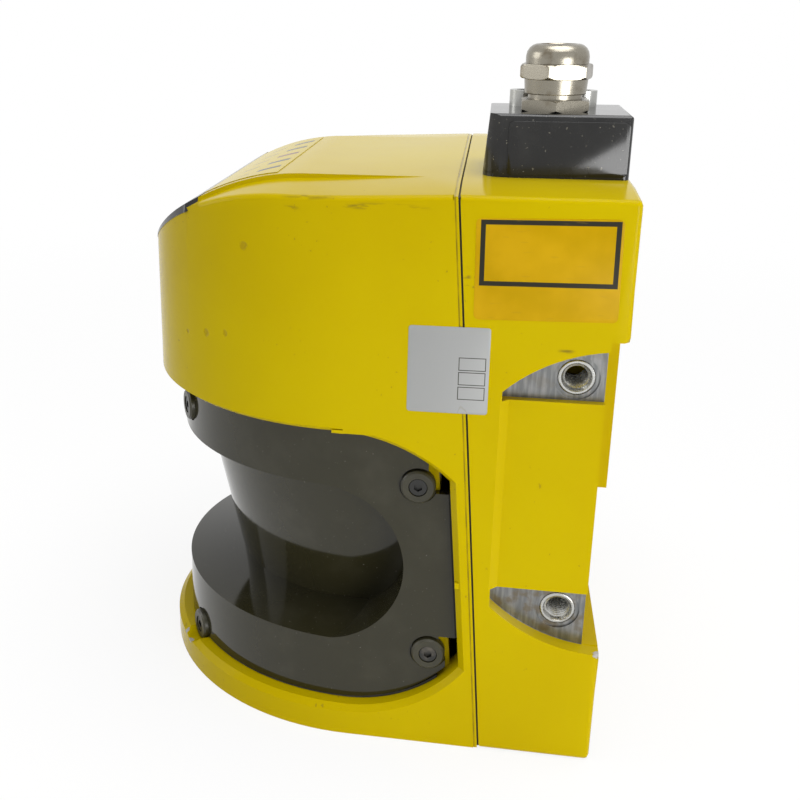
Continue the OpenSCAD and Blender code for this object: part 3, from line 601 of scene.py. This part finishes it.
def insert_points(length, pitch):
    """Rings of a thread insert from the back to the front, the bore turned to a thread.

    The bore's radius at height h and angle t is 3.36 + 0.27 (1 + cos(2 pi (h / pitch - t / (2 pi)))).
    """
    t = np.arange(BORE_POINTS) * 2 * np.pi / BORE_POINTS
    h = np.arange(1.0, length - 1.2, pitch / 7)
    grid_h, grid_t = np.meshgrid(h, t, indexing="ij")
    bore = 3.36 + 0.27 * (1 + np.cos(2 * np.pi * grid_h / pitch - grid_t))
    rim = np.array([
        [3.98, length - 1.0], [4.35, length - 0.35], [4.55, length - 0.1], [5.1, length - 0.1],
        [5.35, length - 0.25], [5.5, length - 0.6], [5.5, 0.0],
    ])
    radius = np.concatenate([bore, np.repeat(rim[:, :1], BORE_POINTS, 1)])
    height = np.concatenate([grid_h, np.repeat(rim[:, 1:], BORE_POINTS, 1)])
    angle = np.repeat(t[None], len(radius), 0)
    return np.stack([radius * np.cos(angle), radius * np.sin(angle), height], -1).reshape(-1, 3), len(radius)


def inserts(node, pitch, material):
    """Threaded inserts in place of a CAD node's plain ones: one at each corner of its box."""
    low, high = (np.array(c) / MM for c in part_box(node))
    r = INSERT_RADIUS
    if node == "side_inserts":
        length = high[0] - SIDE_INSERT_BACK
        spots = [((x * SIDE_INSERT_BACK, (low[1] + high[1]) / 2, z), (0, x, 0), (0, 0, 1), (x, 0, 0))
                 for x in (1, -1) for z in (low[2] + r, high[2] - r)]
    else:
        length = high[1] - low[1]
        spots = [((x, low[1], z), (-1, 0, 0), (0, 0, 1), (0, 1, 0))
                 for x in (low[0] + r, high[0] - r) for z in (low[2] + r, high[2] - r)]
    points, rows = insert_points(length, pitch)
    faces = weave(rows, BORE_POINTS)
    all_points = np.concatenate([placed(points, *spot) for spot in spots])
    all_faces = np.concatenate([faces + i * len(points) for i in range(len(spots))])
    made = surface(f"{node}_threads", all_points, all_faces.tolist(), material)
    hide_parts(node)


def gland_nut(material):
    """The gland's domed nut: a turned shell with six flats.

    Its radius at height h and angle t is the lesser of the outline R(h) and the flats, A / cos u, where u runs
    from -30 to 30 degrees over each flat.
    """
    low, high = (np.array(c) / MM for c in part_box("gland_nut"))
    outline = np.array([
        [8.25, 0.0], [9.1, 0.0], [9.3, 0.3], [9.6, 4.4], [9.9, 4.5], [10.8, 4.7], [11.5, 5.3], [11.5, 8.2],
        [10.8, 8.8], [9.9, 9.05], [9.5, 9.1], [9.5, 11.2], [9.2, 12.6], [8.5, 13.7], [7.6, 14.4],
        [6.6, 14.77], [5.6, 14.77],
        [5.4, 14.5], [5.4, 13.0], [6.8, 13.0], [6.8, 2.1], [8.25, 2.1], [8.25, 0.0],
    ])
    steps = np.linspace(0, len(outline) - 1, 3 * len(outline) - 2)
    radius, height = (np.interp(steps, np.arange(len(outline)), outline[:, i])[:, None] for i in (0, 1))
    turn = math.radians(46)
    t = turn + np.radians(np.arange(0, 360, 3.0))
    u = np.mod(t - turn, math.radians(60)) - math.radians(30)
    reach = np.minimum(radius, (high[1] - low[1]) / 2 / np.cos(u))
    points = np.stack([reach * np.cos(t), reach * np.sin(t), np.repeat(height, len(t), 1)], -1).reshape(-1, 3)
    points = points + [*(low[:2] + high[:2]) / 2, low[2]]
    faces = weave(len(radius), len(t)).tolist()
    made = surface("gland_nut_turned", points, faces, material, sharp=24)
    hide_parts("gland_nut")


def foil(material):
    """Status foil over the front slope, with turned-down edges.

    It is an arc about an axis along X through SLOPE_Y and SLOPE_Z: (x, SLOPE_Y - R sin a, SLOPE_Z + R cos a).
    """
    low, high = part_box("status_panel")
    front, rear, half = low.y / MM, -28.6, high.x / MM
    a = np.arcsin((SLOPE_Y - np.linspace(front, rear, 25)) / SLOPE_RADIUS)
    a = np.r_[a[0], a, a[-1]]
    drop = np.r_[0.35, np.zeros(25), 0.24]
    x = np.r_[-half, np.linspace(-half, half, 12), half]
    fall = np.r_[0.35, np.zeros(12), 0.35]
    reach = SLOPE_RADIUS - np.maximum(drop[:, None], fall[None, :])
    y = SLOPE_Y - reach * np.sin(a)[:, None]
    z = SLOPE_Z + reach * np.cos(a)[:, None]
    points = np.stack([np.repeat(x[None], len(a), 0), y, z], -1).reshape(-1, 3)
    faces = weave(len(a), len(x), closed=False).tolist()
    made = surface("status_foil", points, faces, material)
    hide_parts("status_panel")


def display(material):
    """Display window over the front slope: (s W, SLOPE_Y - R sin a, SLOPE_Z + R cos a), with s from -1 to 1.

    W is the lesser of the panel's half width, 50.1 + PANEL_FLARE (PANEL_TOP - z), and the nose's half width,
    sqrt(NOSE_RADIUS^2 - (y - NOSE_Y)^2). Its sides turn down over the panel's.
    """
    low, high = (np.array(c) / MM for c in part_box("display_window"))
    a = np.arcsin((SLOPE_Y - np.linspace(low[1] + 0.3, high[1], 40)) / SLOPE_RADIUS)
    y, z = SLOPE_Y - SLOPE_RADIUS * np.sin(a), SLOPE_Z + SLOPE_RADIUS * np.cos(a)
    rim = np.sqrt(NOSE_RADIUS**2 - (y - NOSE_Y) ** 2)
    wall = 50.1 + PANEL_FLARE * (PANEL_TOP - z)
    wide = np.minimum(wall, rim)
    s = np.r_[-1, -1, np.linspace(-1, 1, 15), 1, 1]
    fall = np.zeros((len(a), len(s)))
    fall[:, [1, -2]] = 0.1
    fall[:, [0, -1]] = (0.4 + 0.1 * (y + 79))[:, None]
    x = s * wide[:, None] + np.where(wall < rim, PANEL_FLARE, 0.0)[:, None] * np.sign(s) * fall
    points = np.stack([x, np.repeat(y[:, None], len(s), 1), z[:, None] - fall], -1)
    points = np.concatenate([points[:1] - (0, 0, 0.4), points, points[-1:] - (0, 0, 0.4)])
    faces = weave(len(points), len(s), closed=False).tolist()
    made = surface("display_face", points.reshape(-1, 3), faces, material)
    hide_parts("display_window")


class SCANNER_OT_castings(bpy.types.Operator):
    """Round and paint the two castings."""

    bl_idname = "scanner.castings"
    bl_label = "Castings"

    def execute(self, context):
        radius = context.scene.scanner_sizes.casting_edge
        paint = paint_finish()
        rounded("sensor_housing", radius, paint, head_edges)
        rounded("interface_housing", radius, paint, rear_edges)
        return {"FINISHED"}


class SCANNER_OT_threads(bpy.types.Operator):
    """Cut the threads of the mounting inserts."""

    bl_idname = "scanner.threads"
    bl_label = "Thread inserts"

    def execute(self, context):
        pitch = context.scene.scanner_sizes.thread_pitch / MM
        steel = metal_finish("insert_steel", (0.50, 0.50, 0.48), 0.26, stain=(0.22, 0.19, 0.14))
        for node in ("side_inserts", "rear_inserts"):
            inserts(node, pitch, steel)
        return {"FINISHED"}


class SCANNER_OT_labels(bpy.types.Operator):
    """Lay on the bare amber label, the silver sticker and the status foil."""

    bl_idname = "scanner.labels"
    bl_label = "Labels and foil"

    def execute(self, context):
        thickness = context.scene.scanner_sizes.label_thickness / MM
        plate("amber_label", (55.4, 163.4), (20.3, 14.9), 1.6, math.radians(1.2),
              amber_finish(), thickness)
        plate("silver_sticker", (28.8, 132.0), (12.0, 13.5), 0.9, math.radians(0.3),
              silver_finish(), thickness)
        foil(foil_finish())
        return {"FINISHED"}


class SCANNER_OT_cover(bpy.types.Operator):
    """Finish the optics cover, its collars and screws."""

    bl_idname = "scanner.cover"
    bl_label = "Optics cover"

    def execute(self, context):
        dress(["optics_cover"], cover_finish())
        dress(["cover_collars"], plastic_finish("collar_plastic", colour_of("cover"), 0.38, grain=0.00001))
        dress(["cover_screws"], metal_finish("black_steel", (0.05, 0.05, 0.048), 0.35))
        return {"FINISHED"}


class SCANNER_OT_plug(bpy.types.Operator):
    """Finish the plug with its gland, the display window, and the screws and seals of the whole housing."""

    bl_idname = "scanner.plug"
    bl_label = "Plug and gland"

    def execute(self, context):
        black = plastic_finish("black_plastic", colour_of("plug"), 0.13, dust=0.35, specular_ior_level=0.4)
        rounded("plug_housing", 0.0, black, no_edges)
        display(black)
        nickel = metal_finish("nickel", (0.27, 0.25, 0.205), 0.27, stain=(0.10, 0.07, 0.035), spread=0.8)
        low, high = (np.array(c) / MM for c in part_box("plug_housing"))
        plate("plug_face", ((low[1] + 7.2 + high[1] - 0.9) / 2, (low[2] + high[2]) / 2 - 0.6),
              ((high[1] - low[1] - 8.1) / 2, (high[2] - low[2]) / 2 - 1.4), 1.6, 0.0,
              black, 0.45, high[0])
        gland_nut(nickel)
        dress(["gland_body", "gland_locknut", "board_standoffs"], nickel)
        dress(["plug_screws", "module_screws", "motor_bearings", "motor_shaft",
               "encoder_disc", "laser_module", "light_detector"],
              metal_finish("steel", (0.40, 0.40, 0.38), 0.3))
        dress(["module_gasket", "cover_gasket", "plug_gasket", "gland_seal", "gland_o_ring"],
              plastic_finish("rubber", (0.02, 0.02, 0.02), 0.7, grain=0.00002))
        return {"FINISHED"}


class SCANNER_OT_inside(bpy.types.Operator):
    """Finish the boards, the motor, the turning mirror and the optics."""

    bl_idname = "scanner.inside"
    bl_label = "Inner parts"

    def execute(self, context):
        dress(["display_board", "main_board", "interface_board", "receiver_board"], board_finish())
        dress(["plug_connector", "header_connector", "encoder_sensor", "lens_holder", "window_sensors"],
              plastic_finish("grey_plastic", (0.06, 0.06, 0.06), 0.5))
        dress(["motor_bracket", "rotor_bell", "mirror_carrier"],
              metal_finish("bare_aluminium", (0.58, 0.58, 0.56), 0.35, brushed=(1, 8, 1)))
        dress(["motor_stator"], metal_finish("copper", (0.50, 0.24, 0.10), 0.4))
        dress(["rotor_magnet"], metal_finish("magnet", (0.14, 0.14, 0.14), 0.5))
        dress(["scan_mirror"], Finish("mirror_glass", (0.85, 0.87, 0.88), 0.03, metallic=1.0).finish())
        lens = Finish("lens_glass", (0.9, 0.95, 0.95), 0.02, transmission_weight=1.0, ior=1.5)
        dress(["receiver_lens"], lens.finish())
        return {"FINISHED"}


# ---- Stage ----


def plain_floor(size):
    """A square grid in the base plane."""
    side = np.linspace(-size, size, 9)
    x, y = np.meshgrid(side, side)
    points = np.stack([x, y, np.full_like(x, -0.0001)], -1).reshape(-1, 3)
    corner = (np.arange(8)[:, None] * 9 + np.arange(8)).ravel()
    quads = np.stack([corner, corner + 1, corner + 10, corner + 9], -1)
    mesh = bpy.data.meshes.new("floor")
    mesh.from_pydata(points.tolist(), [], quads.tolist())
    floor = bpy.data.objects.new("floor", mesh)
    bpy.context.scene.collection.objects.link(floor)
    return floor


def seen_directly(tree):
    """1 for rays from the camera, from glossy surfaces and through glass."""
    path = tree.nodes.new("ShaderNodeLightPath")
    total = path.outputs["Is Camera Ray"]
    for name in ("Is Glossy Ray", "Is Transmission Ray"):
        made = tree.nodes.new("ShaderNodeMath")
        made.operation = "MAXIMUM"
        tree.links.new(total, made.inputs[0])
        tree.links.new(path.outputs[name], made.inputs[1])
        total = made.outputs[0]
    return total


def lamp(name, place, aim, size, watts):
    light = bpy.data.lights.new(name, "AREA")
    light.shape = "DISK"
    light.size = size
    light.energy = watts
    made = bpy.data.objects.new(name, light)
    made.location = place
    made.rotation_euler = (Vector(aim) - Vector(place)).to_track_quat("-Z", "Y").to_euler()
    bpy.context.scene.collection.objects.link(made)


class SCANNER_OT_stage(bpy.types.Operator):
    """Build the floor, the white surroundings, the soft lamps and the camera."""

    bl_idname = "scanner.stage"
    bl_label = "Stage"

    def execute(self, context):
        scene = context.scene
        scene.view_settings.view_transform = "Standard"
        floor = plain_floor(4.0)
        pale = Finish("floor", colour_of("floor"), 0.8)
        tree = pale.tree
        glow = tree.nodes.new("ShaderNodeEmission")
        glow.inputs["Color"].default_value = (1, 1, 1, 1)
        blend = tree.nodes.new("ShaderNodeMixShader")
        near = pale.spot((0, 0, 0), (0.85, 0.85, 0.85), 0.9)
        shine = pale.math("SUBTRACT", 1.0, pale.math("MULTIPLY", near, 0.16))
        share = pale.math("MULTIPLY", seen_directly(tree), shine)
        tree.links.new(share, blend.inputs[0])
        tree.links.new(pale.shader.outputs[0], blend.inputs[1])
        tree.links.new(glow.outputs[0], blend.inputs[2])
        tree.links.new(blend.outputs[0], tree.nodes["Material Output"].inputs["Surface"])
        floor.data.materials.append(pale.material)

        world = bpy.data.worlds.new("surroundings")
        scene.world = world
        world.use_nodes = True
        tree = world.node_tree
        ground = tree.nodes["Background"]
        level = tree.nodes.new("ShaderNodeMapRange")
        level.inputs["To Min"].default_value = 0.36
        level.inputs["To Max"].default_value = 1.0
        tree.links.new(seen_directly(tree), level.inputs["Value"])
        tree.links.new(level.outputs[0], ground.inputs["Strength"])
        ground.inputs["Color"].default_value = (1, 1, 1, 1)

        lamp("ceiling_lamp", (0.1, 0.15, 1.2), (0, 0, 0.1), 1.0, 12)
        lamp("side_lamp", (0.58, 0.42, 0.04), (0.07, 0.04, 0.03), 0.45, 4.2)
        lamp("front_lamp", (0.1, -1.2, 0.5), (0, 0, 0.1), 0.7, 3)

        data = bpy.data.cameras.new("camera")
        data.lens = scene.scanner_sizes.lens
        data.shift_x = 0.124
        data.shift_y = -0.057
        data.clip_start = 0.01
        camera = bpy.data.objects.new("camera", data)
        camera.location = (0.38098, 0.03833, 0.23553)
        forward = Vector((-0.93554, -0.16619, -0.31172))
        camera.rotation_euler = forward.to_track_quat("-Z", "Y").to_euler()
        scene.collection.objects.link(camera)
        scene.camera = camera
        return {"FINISHED"}


OPERATORS = (SCANNER_OT_castings, SCANNER_OT_threads, SCANNER_OT_labels, SCANNER_OT_cover, SCANNER_OT_plug,
             SCANNER_OT_inside, SCANNER_OT_stage)


class SCANNER_PT_panel(bpy.types.Panel):
    """Sidebar panel with the settings and one button for each group of pieces."""

    bl_idname = "SCANNER_PT_panel"
    bl_label = "Safety laser scanner"
    bl_space_type = "VIEW_3D"
    bl_region_type = "UI"
    bl_category = "Scanner"

    def draw(self, context):
        for settings in (context.scene.scanner_sizes, context.scene.scanner_colours):
            for name in settings.__annotations__:
                self.layout.prop(settings, name)
        for operator in OPERATORS:
            self.layout.operator(operator.bl_idname)


CLASSES = (ScannerColours, ScannerSizes, *OPERATORS, SCANNER_PT_panel)


def register():
    for cls in CLASSES:
        bpy.utils.register_class(cls)
    bpy.types.Scene.scanner_colours = bpy.props.PointerProperty(type=ScannerColours)
    bpy.types.Scene.scanner_sizes = bpy.props.PointerProperty(type=ScannerSizes)


def unregister():
    del bpy.types.Scene.scanner_sizes
    del bpy.types.Scene.scanner_colours
    for cls in reversed(CLASSES):
        bpy.utils.unregister_class(cls)


def main():
    register()
    bpy.ops.scanner.stage()
    bpy.ops.scanner.castings()
    bpy.ops.scanner.threads()
    bpy.ops.scanner.labels()
    bpy.ops.scanner.cover()
    bpy.ops.scanner.plug()
    bpy.ops.scanner.inside()
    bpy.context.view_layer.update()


if __name__ == "__main__":
    main()
